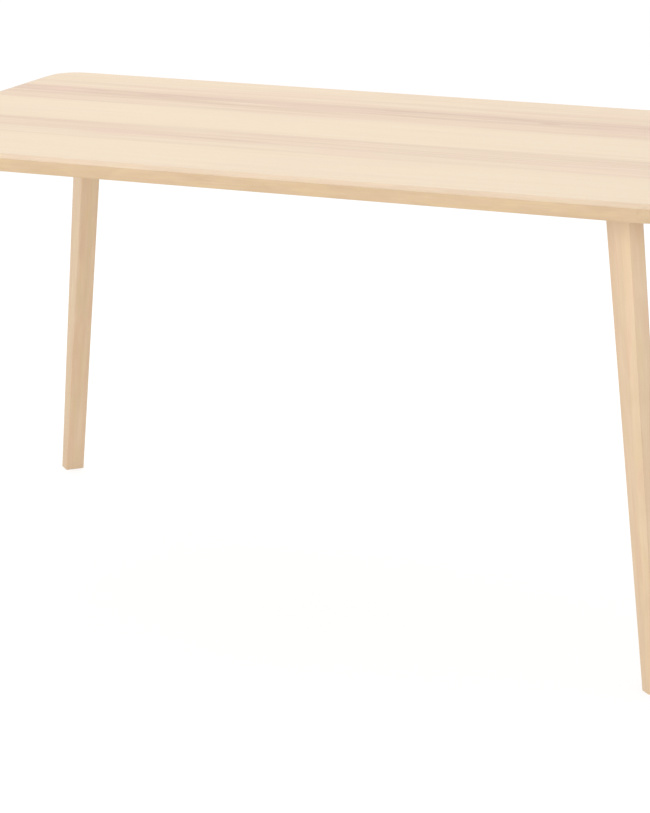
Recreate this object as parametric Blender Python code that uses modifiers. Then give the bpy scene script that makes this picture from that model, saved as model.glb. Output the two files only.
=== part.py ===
"""Rectangular table: a veneered, lipped top on a low timber frame and four splayed legs.

Metres, +Z up.  The origin is on the floor under the middle of the top, the top's long
sides run along X, and the front is at -Y.  Corner pieces are modelled once, in the
back right quarter (+X, +Y), and mirrored into the other three.
"""
import math

import bmesh
import bpy
from mathutils import Matrix, Vector

# Whole table
LENGTH = 1.400
WIDTH = 0.780
HEIGHT = 0.750
GAP = 0.0003                # clearance between neighbouring pieces

# Top
TOP_T = 0.0255              # thickness over both veneers
CORNER_R = 0.064            # plan radius of the outer corners
BEVEL_W = 0.016             # the rim slopes down over this width ...
BEVEL_H = 0.005             # ... by this height
VENEER_T = 0.0006
LIPPING_W = 0.022           # width of the solid rim
LIPPING_EASE = 0.001        # small chamfer on the rim's lower edge
ARC_STEPS = 12              # chords in each rounded corner
LEAF_JOINTS = (-0.193, -0.067, 0.107, 0.270)    # Y of the joints between veneer leaves

# Legs: rectangular section turned to face the table's corner, tapering to the foot
LEG_TOP = Vector((0.5869, 0.2879, 0.0))         # plan centre of the upper end
LEG_FOOT = Vector((0.6774, 0.3549, 0.0))        # plan centre of the foot
LEG_TOP_DEPTH = 0.0600      # along the diagonal
LEG_FOOT_DEPTH = 0.0315
LEG_ACROSS = 0.034          # across the diagonal, the same all the way down
LEG_ROUND = 0.010           # radius of the outer long edge by the table's long side
LEG_ROUND_END = 0.004       # radius of the outer long edge by the table's end
LEG_EASE = 0.0015           # chamfer on the inner long edges and round the foot

# Frame under the top: four flat rails between four corner blocks
FRAME_T = 0.022             # height of rails and blocks
RAIL_W = 0.040
RAIL_INSET = 0.004          # rails stand back from the blocks' outer faces
BLOCK = 0.080               # side of the square that each block is cut from
HOUSING = 0.0175            # block's outer corner beyond the middle of the leg's seat
SEAT_LIP = 0.0045           # how far the block reaches past the leg's inner face
RAIL_EASE = 0.0015
TENON_LENGTH = 0.012        # stub tenons on the rails' ends, glued into the blocks
TENON_W = 0.028
TENON_T = 0.010
TENON_ROOT = 0.006          # how far a tenon starts inside its rail before they are joined
HEADROOM = 0.001            # cutters stand this far clear of the faces they cut through

# Fittings
BOLT_LENGTH = 0.080         # M8 socket-head bolt, under the head
BOLT_R = 0.004
BOLT_HEAD_R = 0.0065
BOLT_HEAD_H = 0.008
BOLT_SOCKET = 0.006         # across the flats of the hexagon socket
WASHER_R = 0.008
WASHER_T = 0.0016
INSERT_R = 0.0055
INSERT_LENGTH = 0.020
INSERT_SUNK = 0.002         # below the leg's inner face
LEG_DOWEL_R = 0.003
LEG_DOWEL_LENGTH = 0.030
LEG_DOWEL_OFFSET = 0.0115   # from the bolt, across the diagonal
SCREW_R = 0.002
SCREW_LENGTH = 0.040
SCREW_HEAD_R = 0.004
SCREW_HEAD_H = 0.0024
SCREW_HEAD_RIM = 0.0002
SCREW_POINT = 0.005         # length of the tapered point
SCREW_SUNK = 0.0005         # heads sit this far inside the frame's lower face
RAIL_SCREW_X = 0.200        # each side rail has a screw this far either side of its middle
BLOCK_SCREW_BACK = 0.024    # block screws sit this far behind the seat ...
BLOCK_SCREW_SIDE = 0.0247   # ... and this far to either side of the bolt
FITTING_CHAMFER = 0.0008
DOWEL_END_ROOM = 0.0005     # at each end of a dowel in its hole
ROUND_STEPS = 14            # facets round bolts, washers and inserts
SMALL_STEPS = 10            # facets round dowels and screws

# Levels and places that follow from the sizes above
TOP_UNDERSIDE = HEIGHT - TOP_T
FRAME_TOP = TOP_UNDERSIDE - GAP
FRAME_BOTTOM = FRAME_TOP - FRAME_T
FRAME_MIDDLE = FRAME_TOP - FRAME_T / 2
LEG_LENGTH = FRAME_TOP
OUTWARD = Vector((1.0, 1.0, 0.0)).normalized()
ACROSS = Vector((-1.0, 1.0, 0.0)).normalized()
SEAT = LEG_TOP - OUTWARD * LEG_TOP_DEPTH / 2     # middle of the leg's inner face, at its top
BLOCK_OUT = SEAT + Vector((HOUSING, HOUSING, 0.0))
BLOCK_IN = BLOCK_OUT - Vector((BLOCK, BLOCK, 0.0))
RAIL_OUT = BLOCK_OUT - Vector((RAIL_INSET, RAIL_INSET, 0.0))
RAIL_IN = RAIL_OUT - Vector((RAIL_W, RAIL_W, 0.0))
RAIL_MIDDLE = (RAIL_OUT + RAIL_IN) / 2

QUARTERS = {
    "front_left": (-1, -1),
    "front_right": (1, -1),
    "back_left": (-1, 1),
    "back_right": (1, 1),
}


# ---------------------------------------------------------------- scene and materials

def clear_scene():
    """Start from an empty file."""
    for obj in list(bpy.data.objects):
        bpy.data.objects.remove(obj, do_unlink=True)


def new_collection(name):
    collection = bpy.data.collections.new(name)
    bpy.context.scene.collection.children.link(collection)
    return collection


def linear(channel):
    """One sRGB channel, 0 to 255, as the linear value a shader takes."""
    value = channel / 255
    return value / 12.92 if value <= 0.04045 else ((value + 0.055) / 1.055) ** 2.4


def new_material(name, srgb, roughness, metallic=0.0):
    material = bpy.data.materials.new(name)
    material.use_nodes = True
    shader = material.node_tree.nodes["Principled BSDF"]
    shader.inputs["Base Color"].default_value = (*map(linear, srgb), 1.0)
    shader.inputs["Roughness"].default_value = roughness
    shader.inputs["Metallic"].default_value = metallic
    material.diffuse_color = (*map(linear, srgb), 1.0)
    return material


clear_scene()
TABLE = new_collection("communion_table")
GUIDES = new_collection("cutters")
ASH_PALE = new_material("ash_veneer_pale", (240, 220, 196), 0.42)
ASH_STREAKED = new_material("ash_veneer_streaked", (230, 208, 184), 0.42)
ASH_BACKING = new_material("ash_backing", (226, 205, 178), 0.55)
LIPPING_WOOD = new_material("lipping_birch", (236, 211, 178), 0.40)
LEG_WOOD = new_material("leg_birch", (228, 200, 166), 0.40)
FRAME_WOOD = new_material("frame_birch", (220, 196, 160), 0.60)
DOWEL_WOOD = new_material("dowel_beech", (205, 168, 128), 0.65)
CHIPBOARD = new_material("chipboard", (186, 158, 120), 0.85)
ZINC = new_material("zinc_steel", (190, 192, 196), 0.32, 1.0)
BLACK_STEEL = new_material("black_steel", (52, 52, 55), 0.40, 1.0)
INSERT_ALLOY = new_material("insert_zinc_alloy", (178, 170, 150), 0.38, 1.0)


# ---------------------------------------------------------------- building helpers

def finished(name, mesh, material):
    """Put a mesh in the scene as a named piece of the table with its own material."""
    obj = bpy.data.objects.new(name, mesh)
    obj.data.materials.clear()
    obj.data.materials.append(material)
    TABLE.objects.link(obj)
    return obj


def mesh_from(name, bm):
    """Turn a bmesh into a mesh whose faces point out, and free it."""
    bmesh.ops.recalc_face_normals(bm, faces=bm.faces)
    mesh = bpy.data.meshes.new(name)
    bm.to_mesh(mesh)
    bm.free()
    return mesh


def shade_rounds(mesh, degrees=35):
    """Smooth the rounded stretches and keep the real edges sharp."""
    mesh.shade_smooth()
    mesh.set_sharp_from_angle(angle=math.radians(degrees))


def guide(name, mesh):
    """A cutter or a master shape: in the scene, but not a piece of the table."""
    obj = bpy.data.objects.new(name, mesh)
    GUIDES.objects.link(obj)
    obj.hide_render = True
    obj.display_type = "WIRE"
    return obj


def baked(obj):
    """The object's mesh with its modifiers worked out."""
    bpy.context.view_layer.update()
    evaluated = obj.evaluated_get(bpy.context.evaluated_depsgraph_get())
    return bpy.data.meshes.new_from_object(evaluated)


def combine(obj, other, operation):
    modifier = obj.modifiers.new(other.name, "BOOLEAN")
    modifier.operation = operation
    modifier.solver = "EXACT"
    modifier.object = other


def cut(obj, cutter):
    """Take the cutter's shape out of the object."""
    combine(obj, cutter, "DIFFERENCE")


def box(bm, low, high):
    """A box between two opposite corners."""
    low = Vector(low)
    high = Vector(high)
    size = high - low
    matrix = Matrix.Translation((low + high) / 2) @ Matrix.Diagonal((*size, 1.0))
    return bmesh.ops.create_cube(bm, size=1.0, matrix=matrix)["verts"]


def extruded(bm, outline, bottom, top):
    """A slab of a closed plan outline."""
    face = bm.faces.new([bm.verts.new((x, y, bottom)) for x, y in outline])
    grown = bmesh.ops.extrude_face_region(bm, geom=[face])["geom"]
    raised = [item for item in grown if isinstance(item, bmesh.types.BMVert)]
    bmesh.ops.translate(bm, verts=raised, vec=(0.0, 0.0, top - bottom))


def plan_outline(x_low, x_high, y_low, y_high, front_radius, back_radius):
    """A rectangle's outline, anticlockwise, with its front and back corners rounded."""
    points = []
    corners = (
        (x_low, y_low, 180, front_radius),
        (x_high, y_low, 270, front_radius),
        (x_high, y_high, 0, back_radius),
        (x_low, y_high, 90, back_radius),
    )
    for x, y, start, radius in corners:
        if radius == 0.0:
            points.append((x, y))
            continue
        centre_x = x + math.copysign(radius, -x)
        centre_y = y + math.copysign(radius, -y)
        for step in range(ARC_STEPS + 1):
            angle = math.radians(start + 90 * step / ARC_STEPS)
            points.append((centre_x + radius * math.cos(angle), centre_y + radius * math.sin(angle)))
    return points


def turned(profile, steps, ring=False):
    """A mesh turned about Z from (radius, height) points running down the outer side."""
    bm = bmesh.new()
    verts = [bm.verts.new((radius, 0.0, height)) for radius, height in profile]
    for first, second in zip(verts, verts[1:]):
        bm.edges.new((first, second))
    if ring:
        bm.edges.new((verts[-1], verts[0]))
    mesh = bpy.data.meshes.new("profile")
    bm.to_mesh(mesh)
    bm.free()
    spun = guide("turning", mesh)
    screw = spun.modifiers.new("Screw", "SCREW")
    screw.axis = "Z"
    screw.steps = steps
    screw.render_steps = steps
    screw.use_merge_vertices = True
    screw.merge_threshold = 0.00001
    result = baked(spun)
    bpy.data.objects.remove(spun, do_unlink=True)
    return result


def rod(radius, length, chamfer, steps):
    """A round rod about Z, centred on the origin, with chamfered ends."""
    half = length / 2
    return turned([
        (0.0, half),
        (radius - chamfer, half),
        (radius, half - chamfer),
        (radius, chamfer - half),
        (radius - chamfer, -half),
        (0.0, -half),
    ], steps)


def drill(radius, length, steps):
    """The hole for a round fitting: its radius with clearance, and a little longer."""
    return rod(radius + GAP, length + 2 * DOWEL_END_ROOM, DOWEL_END_ROOM, steps)


def copies(name, mesh, places):
    """One mesh holding a copy of another at each place."""
    bm = bmesh.new()
    for place in places:
        before = len(bm.verts)
        bm.from_mesh(mesh)
        bm.verts.ensure_lookup_table()
        bmesh.ops.transform(bm, matrix=place, verts=bm.verts[before:])
    return mesh_from(name, bm)


def facing(direction, point):
    """A placement that turns +Z to a direction and moves the origin to a point."""
    turn = Vector(direction).to_track_quat("Z", "Y").to_matrix().to_4x4()
    return Matrix.Translation(point) @ turn


def spread(master, material, named_signs):
    """Mirror a master shape into each named quarter or side, as separate pieces."""
    shape = baked(master)
    for name, (sign_x, sign_y) in named_signs.items():
        mesh = shape.copy()
        mesh.name = name
        mesh.transform(Matrix.Diagonal((sign_x, sign_y, 1.0, 1.0)))
        if sign_x * sign_y < 0:
            mesh.flip_normals()
        shade_rounds(mesh)
        finished(name, mesh, material)


def in_quarters(stem):
    return {f"{stem}_{quarter}": signs for quarter, signs in QUARTERS.items()}


# ---------------------------------------------------------------- where the fittings go

def screw_points():
    """Plan points of the back right quarter's screws, by the start of their node names."""
    behind_seat = SEAT - OUTWARD * BLOCK_SCREW_BACK
    return {
        "rail_screw": Vector((RAIL_SCREW_X, RAIL_MIDDLE.y, 0.0)),
        "block_screw_side": behind_seat + ACROSS * BLOCK_SCREW_SIDE,
        "block_screw_end": behind_seat - ACROSS * BLOCK_SCREW_SIDE,
    }


def leg_dowel_places():
    """The two dowels that locate the leg on its block, centred on the seat."""
    middle = seat_middle()
    return {
        "leg_dowel_side": facing(OUTWARD, middle + ACROSS * LEG_DOWEL_OFFSET),
        "leg_dowel_end": facing(OUTWARD, middle - ACROSS * LEG_DOWEL_OFFSET),
    }


def seat_middle():
    """Where the bolt's axis crosses the leg's leaning inner face."""
    return SEAT + Vector((0.0, 0.0, FRAME_MIDDLE)) + OUTWARD * seat_slope(FRAME_T / 2)


def seat_slope(drop):
    """How far the leg's leaning inner face moves outward over a drop below its top."""
    foot_seat = LEG_FOOT - OUTWARD * LEG_FOOT_DEPTH / 2
    return (foot_seat - SEAT).dot(OUTWARD) * drop / LEG_LENGTH


def screw_hole(reach):
    """Drill for a countersunk screw: a clearance hole and a cone for its head."""
    radius = SCREW_R + GAP
    head = SCREW_HEAD_R + 2 * GAP
    return turned([
        (0.0, reach),
        (radius, reach),
        (radius, SCREW_HEAD_H + SCREW_SUNK + GAP),
        (head, SCREW_SUNK + GAP),
        (head, -HEADROOM),
        (0.0, -HEADROOM),
    ], SMALL_STEPS)


def at_frame_bottom(point):
    return Matrix.Translation((point.x, point.y, FRAME_BOTTOM))


# ---------------------------------------------------------------- top

def build_core():
    """Chipboard core with pilot holes for the frame's screws, and its backing veneer."""
    half_x = LENGTH / 2 - LIPPING_W - GAP
    half_y = WIDTH / 2 - LIPPING_W - GAP
    radius = CORNER_R - LIPPING_W - GAP
    outline = plan_outline(-half_x, half_x, -half_y, half_y, radius, radius)
    bottom = TOP_UNDERSIDE + VENEER_T + GAP
    bm = bmesh.new()
    extruded(bm, outline, bottom, HEIGHT - VENEER_T - GAP)
    core = finished("core_board", mesh_from("core_board", bm), CHIPBOARD)
    bm = bmesh.new()
    extruded(bm, outline, TOP_UNDERSIDE, TOP_UNDERSIDE + VENEER_T)
    backing = finished("underside_veneer", mesh_from("underside_veneer", bm), ASH_BACKING)
    depth = FRAME_BOTTOM + SCREW_SUNK + SCREW_LENGTH - TOP_UNDERSIDE + HEADROOM
    hole = drill(SCREW_R, 2 * depth, SMALL_STEPS)
    places = [
        Matrix.Translation((point.x * sign_x, point.y * sign_y, TOP_UNDERSIDE))
        for point in screw_points().values()
        for sign_x, sign_y in QUARTERS.values()
    ]
    pilots = guide("pilot_holes", copies("pilot_holes", hole, places))
    cut(core, pilots)
    cut(backing, pilots)


def build_top_veneer():
    """Five leaves of ash laid edge to edge, the outer two with the rounded corners."""
    half_x = LENGTH / 2 - BEVEL_W - GAP
    half_y = WIDTH / 2 - BEVEL_W - GAP
    radius = CORNER_R - BEVEL_W - GAP
    edges = (-half_y, *LEAF_JOINTS, half_y)
    last = len(edges) - 2
    for index, (low, high) in enumerate(zip(edges, edges[1:])):
        front = low if index == 0 else low + GAP / 2
        back = high if index == last else high - GAP / 2
        outline = plan_outline(
            -half_x, half_x, front, back,
            radius if index == 0 else 0.0, radius if index == last else 0.0,
        )
        bm = bmesh.new()
        extruded(bm, outline, HEIGHT - VENEER_T, HEIGHT)
        name = f"top_veneer_leaf_{index + 1}"
        finished(name, mesh_from(name, bm), ASH_STREAKED if index % 2 else ASH_PALE)


def lipping_profile(bm):
    """The rim's section as a face in the XZ plane, its outer side at X = 0."""
    rebate = HEIGHT - VENEER_T - GAP
    section = (
        (0.0, TOP_UNDERSIDE + LIPPING_EASE),
        (0.0, HEIGHT - BEVEL_H),
        (-BEVEL_W, HEIGHT),
        (-BEVEL_W, rebate),
        (-LIPPING_W, rebate),
        (-LIPPING_W, TOP_UNDERSIDE),
        (-LIPPING_EASE, TOP_UNDERSIDE),
    )
    return bm.faces.new([bm.verts.new((x, 0.0, z)) for x, z in section])


def build_straight_lipping():
    """Solid strips along the four sides, between the corner pieces."""
    sides = {
        "lipping_right": (0, LENGTH / 2, WIDTH / 2 - CORNER_R),
        "lipping_back": (90, WIDTH / 2, LENGTH / 2 - CORNER_R),
        "lipping_left": (180, LENGTH / 2, WIDTH / 2 - CORNER_R),
        "lipping_front": (270, WIDTH / 2, LENGTH / 2 - CORNER_R),
    }
    for name, (angle, reach, half_length) in sides.items():
        bm = bmesh.new()
        face = lipping_profile(bm)
        bmesh.ops.translate(bm, verts=bm.verts, vec=(reach, GAP - half_length, 0.0))
        grown = bmesh.ops.extrude_face_region(bm, geom=[face])["geom"]
        moved = [item for item in grown if isinstance(item, bmesh.types.BMVert)]
        bmesh.ops.translate(bm, verts=moved, vec=(0.0, 2 * (half_length - GAP), 0.0))
        bmesh.ops.rotate(bm, verts=bm.verts, matrix=Matrix.Rotation(math.radians(angle), 3, "Z"))
        finished(name, mesh_from(name, bm), LIPPING_WOOD)


def build_lipping_corners():
    """The rounded corner pieces: the same section swept through a quarter turn."""
    bm = bmesh.new()
    face = lipping_profile(bm)
    bmesh.ops.translate(bm, verts=bm.verts, vec=(CORNER_R, 0.0, 0.0))
    bmesh.ops.spin(
        bm, geom=[face, *face.edges, *face.verts], cent=(0, 0, 0), axis=(0, 0, 1),
        angle=math.radians(90), steps=ARC_STEPS,
    )
    centre = (LENGTH / 2 - CORNER_R, WIDTH / 2 - CORNER_R, 0.0)
    bmesh.ops.translate(bm, verts=bm.verts, vec=centre)
    master = guide("lipping_corner_master", mesh_from("lipping_corner_master", bm))
    spread(master, LIPPING_WOOD, in_quarters("lipping_corner"))


# ---------------------------------------------------------------- legs

def leg_box(bm, clearance=0.0, reach=1.0):
    """A cube whose corners are moved to the leg's foot and top.

    A clearance grows its section, and a reach above 1 carries it on past the top.
    """
    for vert in bmesh.ops.create_cube(bm, size=2.0)["verts"]:
        share = reach if vert.co.z > 0 else 0.0
        centre = LEG_FOOT.lerp(LEG_TOP, share)
        depth = LEG_FOOT_DEPTH + (LEG_TOP_DEPTH - LEG_FOOT_DEPTH) * share
        outward = OUTWARD * vert.co.x * (depth / 2 + clearance)
        across = ACROSS * vert.co.y * (LEG_ACROSS / 2 + clearance)
        vert.co = centre + outward + across
        vert.co.z = LEG_LENGTH * share


def long_edges(bm, outward, across):
    """The leg's long edges at one corner of its section, picked by the signs of its place."""
    found = []
    for edge in bm.edges:
        first, second = (vert.co for vert in edge.verts)
        if abs(first.z - second.z) < LEG_LENGTH / 2:
            continue
        middle = (first + second) / 2 - (LEG_TOP + LEG_FOOT) / 2
        if middle.dot(OUTWARD) * outward > 0 and middle.dot(ACROSS) * across > 0:
            found.append(edge)
    return found


def bores(name, shapes):
    """One cutter made of each drill shape at each of its places."""
    bm = bmesh.new()
    for mesh, places in shapes:
        bm.from_mesh(copies(name, mesh, places))
    return guide(name, mesh_from(name, bm))


def chamfer(bm, edges, size, segments=1):
    bmesh.ops.bevel(
        bm, geom=edges, offset=size, offset_type="OFFSET",
        segments=segments, profile=0.5, affect="EDGES",
    )


def leg_bores():
    """Holes in the leg's inner face for the threaded insert and the two dowels."""
    insert = drill(INSERT_R, 2 * (INSERT_LENGTH + 2 * INSERT_SUNK), ROUND_STEPS)
    return bores("leg_bores", (
        (insert, [facing(OUTWARD, seat_middle())]),
        (drill(LEG_DOWEL_R, LEG_DOWEL_LENGTH, SMALL_STEPS), leg_dowel_places().values()),
    ))


def build_legs():
    """Leaning, tapered legs with rounded outer edges, bored for the insert and dowels."""
    bm = bmesh.new()
    leg_box(bm)
    chamfer(bm, long_edges(bm, 1, 1), LEG_ROUND, segments=4)
    chamfer(bm, long_edges(bm, 1, -1), LEG_ROUND_END, segments=3)
    chamfer(bm, long_edges(bm, -1, 1) + long_edges(bm, -1, -1), LEG_EASE)
    foot = [edge for edge in bm.edges if all(vert.co.z < 0.0001 for vert in edge.verts)]
    chamfer(bm, foot, LEG_EASE)
    master = guide("leg_master", mesh_from("leg_master", bm))
    cut(master, leg_bores())
    spread(master, LEG_WOOD, in_quarters("leg"))


# ---------------------------------------------------------------- frame under the top

def tenon_box(bm, along_x, root, clearance=0.0):
    """A rail's stub tenon into the back right block, from a root before the joint."""
    half_w = TENON_W / 2 + clearance
    half_t = TENON_T / 2 + clearance
    reach = TENON_LENGTH + clearance
    if along_x:
        low = (BLOCK_IN.x - root, RAIL_MIDDLE.y - half_w)
        high = (BLOCK_IN.x + reach, RAIL_MIDDLE.y + half_w)
    else:
        low = (RAIL_MIDDLE.x - half_w, BLOCK_IN.y - root)
        high = (RAIL_MIDDLE.x + half_w, BLOCK_IN.y + reach)
    return box(bm, (*low, FRAME_MIDDLE - half_t), (*high, FRAME_MIDDLE + half_t))


def build_rail(name, signs, along_x):
    """A flat rail with eased lower edges and a stub tenon at each end."""
    if along_x:
        low, high = (GAP - BLOCK_IN.x, RAIL_IN.y), (BLOCK_IN.x - GAP, RAIL_OUT.y)
    else:
        low, high = (RAIL_IN.x, GAP - BLOCK_IN.y), (RAIL_OUT.x, BLOCK_IN.y - GAP)
    bm = bmesh.new()
    box(bm, (*low, FRAME_BOTTOM), (*high, FRAME_TOP))
    lower = [
        edge for edge in bm.edges
        if edge.calc_length() > RAIL_W + RAIL_EASE and edge.verts[0].co.z < FRAME_MIDDLE
    ]
    chamfer(bm, lower, RAIL_EASE, segments=2)
    master = guide(f"{name}_master", mesh_from(f"{name}_master", bm))
    bm = bmesh.new()
    mirror = Matrix.Diagonal((-1, 1, 1, 1) if along_x else (1, -1, 1, 1))
    tenon_box(bm, along_x, TENON_ROOT)
    bmesh.ops.transform(bm, matrix=mirror, verts=tenon_box(bm, along_x, TENON_ROOT))
    tenons = guide(f"{name}_tenons", mesh_from(f"{name}_tenons", bm))
    combine(master, tenons, "UNION")
    if along_x:
        point = screw_points()["rail_screw"]
        hole = screw_hole(FRAME_T + HEADROOM)
        places = [at_frame_bottom(point), mirror @ at_frame_bottom(point)]
        cut(master, bores("side_rail_screw_holes", ((hole, places),)))
    spread(master, FRAME_WOOD, signs)


def build_rails():
    build_rail("side_rail", {"side_rail_front": (1, -1), "side_rail_back": (1, 1)}, True)
    build_rail("end_rail", {"end_rail_left": (-1, 1), "end_rail_right": (1, 1)}, False)


def build_blocks():
    """Corner blocks: the leg beds into a shallow housing cut in the outer face."""
    cut_in = BLOCK_IN.x + RAIL_IN.y
    lip = SEAT + OUTWARD * SEAT_LIP
    cut_out = lip.x + lip.y
    outline = (
        (BLOCK_IN.x, cut_in - BLOCK_IN.x),
        (cut_in - BLOCK_IN.y, BLOCK_IN.y),
        (BLOCK_OUT.x, BLOCK_IN.y),
        (BLOCK_OUT.x, cut_out - BLOCK_OUT.x),
        (cut_out - BLOCK_OUT.y, BLOCK_OUT.y),
        (BLOCK_IN.x, BLOCK_OUT.y),
    )
    bm = bmesh.new()
    extruded(bm, outline, FRAME_BOTTOM, FRAME_TOP)
    lower = [edge for edge in bm.edges if all(vert.co.z < FRAME_MIDDLE for vert in edge.verts)]
    chamfer(bm, lower, RAIL_EASE, segments=2)
    master = guide("corner_block_master", mesh_from("corner_block_master", bm))
    cut(master, leg_housing())
    cut(master, block_bores())
    cut(master, mortises())
    spread(master, FRAME_WOOD, in_quarters("corner_block"))


def leg_housing():
    """The leg's own shape with clearance, which the block is cut to."""
    bm = bmesh.new()
    leg_box(bm, clearance=GAP, reach=1.01)
    return guide("leg_housing", mesh_from("leg_housing", bm))


def mortises():
    """The sockets for both rails' tenons."""
    bm = bmesh.new()
    for along_x in (True, False):
        tenon_box(bm, along_x, HEADROOM, GAP)
    return guide("mortises", mesh_from("mortises", bm))


def block_bores():
    """The bolt's clearance hole, the leg's dowel holes and both screw holes."""
    bolt = drill(BOLT_R + GAP, 2 * BLOCK, ROUND_STEPS)
    dowel = drill(LEG_DOWEL_R, LEG_DOWEL_LENGTH, SMALL_STEPS)
    points = screw_points()
    screws = [at_frame_bottom(points[stem]) for stem in ("block_screw_side", "block_screw_end")]
    return bores("block_bores", (
        (bolt, [facing(OUTWARD, seat_middle())]),
        (dowel, leg_dowel_places().values()),
        (screw_hole(FRAME_T + HEADROOM), screws),
    ))


# ---------------------------------------------------------------- fittings

def bolt_face():
    """Middle of the block's inner diagonal face, where the washer bears."""
    offset = (BLOCK_IN.x + RAIL_IN.y - SEAT.x - SEAT.y) / 2
    return Vector((SEAT.x + offset, SEAT.y + offset, FRAME_MIDDLE))


def build_bolts():
    """Bolt, washer and threaded insert of each leg, on one diagonal axis."""
    head = BOLT_LENGTH + BOLT_HEAD_H
    bolt = guide("leg_bolt_master", turned([
        (0.0, head),
        (BOLT_HEAD_R - FITTING_CHAMFER, head),
        (BOLT_HEAD_R, head - FITTING_CHAMFER),
        (BOLT_HEAD_R, BOLT_LENGTH),
        (BOLT_R, BOLT_LENGTH),
        (BOLT_R, FITTING_CHAMFER),
        (BOLT_R - FITTING_CHAMFER, 0.0),
        (0.0, 0.0),
    ], ROUND_STEPS))
    bm = bmesh.new()
    bmesh.ops.create_cone(
        bm, cap_ends=True, segments=6, radius1=BOLT_SOCKET / math.sqrt(3),
        radius2=BOLT_SOCKET / math.sqrt(3), depth=BOLT_HEAD_H,
        matrix=Matrix.Translation((0, 0, head)),
    )
    cut(bolt, guide("bolt_socket", mesh_from("bolt_socket", bm)))
    washer = turned([
        (WASHER_R, WASHER_T), (WASHER_R, 0.0), (BOLT_R + GAP, 0.0), (BOLT_R + GAP, WASHER_T),
    ], ROUND_STEPS, ring=True)
    insert = turned([
        (INSERT_R - FITTING_CHAMFER, INSERT_LENGTH),
        (INSERT_R, INSERT_LENGTH - FITTING_CHAMFER),
        (INSERT_R, FITTING_CHAMFER),
        (INSERT_R - FITTING_CHAMFER, 0.0),
        (BOLT_R + GAP, 0.0),
        (BOLT_R + GAP, INSERT_LENGTH),
    ], ROUND_STEPS, ring=True)
    bearing = bolt_face()
    inward = -OUTWARD
    washer_at = bearing + inward * GAP
    bolt_at = bearing + inward * (2 * GAP + WASHER_T - BOLT_LENGTH)
    insert_at = seat_middle() + OUTWARD * (INSERT_LENGTH + INSERT_SUNK)
    pieces = (
        ("leg_bolt", baked(bolt), BLACK_STEEL, bolt_at),
        ("washer", washer, ZINC, washer_at),
        ("threaded_insert", insert, INSERT_ALLOY, insert_at),
    )
    for stem, mesh, material, point in pieces:
        master = guide(f"{stem}_in_place", copies(stem, mesh, [facing(inward, point)]))
        spread(master, material, in_quarters(stem))


def build_dowels():
    """Beech dowels that locate each leg on its block."""
    dowel = rod(LEG_DOWEL_R, LEG_DOWEL_LENGTH, FITTING_CHAMFER, SMALL_STEPS)
    for stem, place in leg_dowel_places().items():
        master = guide(f"{stem}_master", copies(stem, dowel, [place]))
        spread(master, DOWEL_WOOD, in_quarters(stem))


def build_screws():
    """Countersunk screws up through the frame into the core."""
    screw = turned([
        (0.0, SCREW_LENGTH),
        (SCREW_R, SCREW_LENGTH - SCREW_POINT),
        (SCREW_R, SCREW_HEAD_H),
        (SCREW_HEAD_R, SCREW_HEAD_RIM),
        (SCREW_HEAD_R, 0.0),
        (0.0, 0.0),
    ], SMALL_STEPS)
    sunk = Matrix.Translation((0.0, 0.0, SCREW_SUNK))
    for stem, point in screw_points().items():
        master = guide(f"{stem}_master", copies(stem, screw, [sunk @ at_frame_bottom(point)]))
        spread(master, ZINC, in_quarters(stem))


build_core()
build_top_veneer()
build_straight_lipping()
build_lipping_corners()
build_legs()
build_rails()
build_blocks()
build_bolts()
build_dowels()
build_screws()
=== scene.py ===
import math

import bmesh
import bpy
from mathutils import Euler, Matrix, Vector


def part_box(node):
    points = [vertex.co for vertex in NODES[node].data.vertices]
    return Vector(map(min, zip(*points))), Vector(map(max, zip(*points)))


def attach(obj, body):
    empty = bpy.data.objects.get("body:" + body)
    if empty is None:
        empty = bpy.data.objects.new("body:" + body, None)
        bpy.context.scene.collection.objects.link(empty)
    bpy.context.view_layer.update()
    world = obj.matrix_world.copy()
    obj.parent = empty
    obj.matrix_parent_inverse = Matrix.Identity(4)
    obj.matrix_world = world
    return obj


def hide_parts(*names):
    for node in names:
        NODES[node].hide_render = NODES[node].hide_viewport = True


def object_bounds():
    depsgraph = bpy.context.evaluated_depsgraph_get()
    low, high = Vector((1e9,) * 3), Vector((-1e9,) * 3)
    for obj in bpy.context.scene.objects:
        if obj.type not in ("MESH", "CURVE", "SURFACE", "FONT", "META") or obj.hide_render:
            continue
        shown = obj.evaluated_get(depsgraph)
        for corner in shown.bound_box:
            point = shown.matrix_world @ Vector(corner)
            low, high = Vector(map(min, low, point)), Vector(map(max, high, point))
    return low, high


# Looks of the communion table: veneered top, bevelled rim, splayed legs and fittings.
# Metres, +Z up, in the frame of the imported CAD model.  The origin is on the floor under
# the middle of the top, X runs along the top's long sides and the front is at -Y.

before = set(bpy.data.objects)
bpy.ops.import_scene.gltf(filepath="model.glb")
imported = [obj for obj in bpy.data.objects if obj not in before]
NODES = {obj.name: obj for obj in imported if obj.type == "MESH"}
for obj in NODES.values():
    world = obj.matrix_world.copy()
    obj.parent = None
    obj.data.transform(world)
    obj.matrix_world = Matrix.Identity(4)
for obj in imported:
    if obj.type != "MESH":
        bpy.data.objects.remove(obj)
CAD_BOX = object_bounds()

# ---------------------------------------------------------------- sizes

# Levels and outlines, read off the frame
HALF_X = CAD_BOX[1].x
HALF_Y = CAD_BOX[1].y
HEIGHT = CAD_BOX[1].z
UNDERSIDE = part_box("underside_veneer")[0].z
VENEER_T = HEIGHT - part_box("top_veneer_leaf_1")[0].z
CORNER_R = HALF_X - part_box("lipping_corner_back_right")[0].x
LIPPING_W = HALF_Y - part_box("lipping_back")[0].y
GAP = 0.0003                # clearance that the CAD pieces keep; the top's pieces close it here
BEVEL_W = HALF_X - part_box("top_veneer_leaf_1")[1].x - GAP
LEAVES = [f"top_veneer_leaf_{number}" for number in range(1, 6)]

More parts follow.
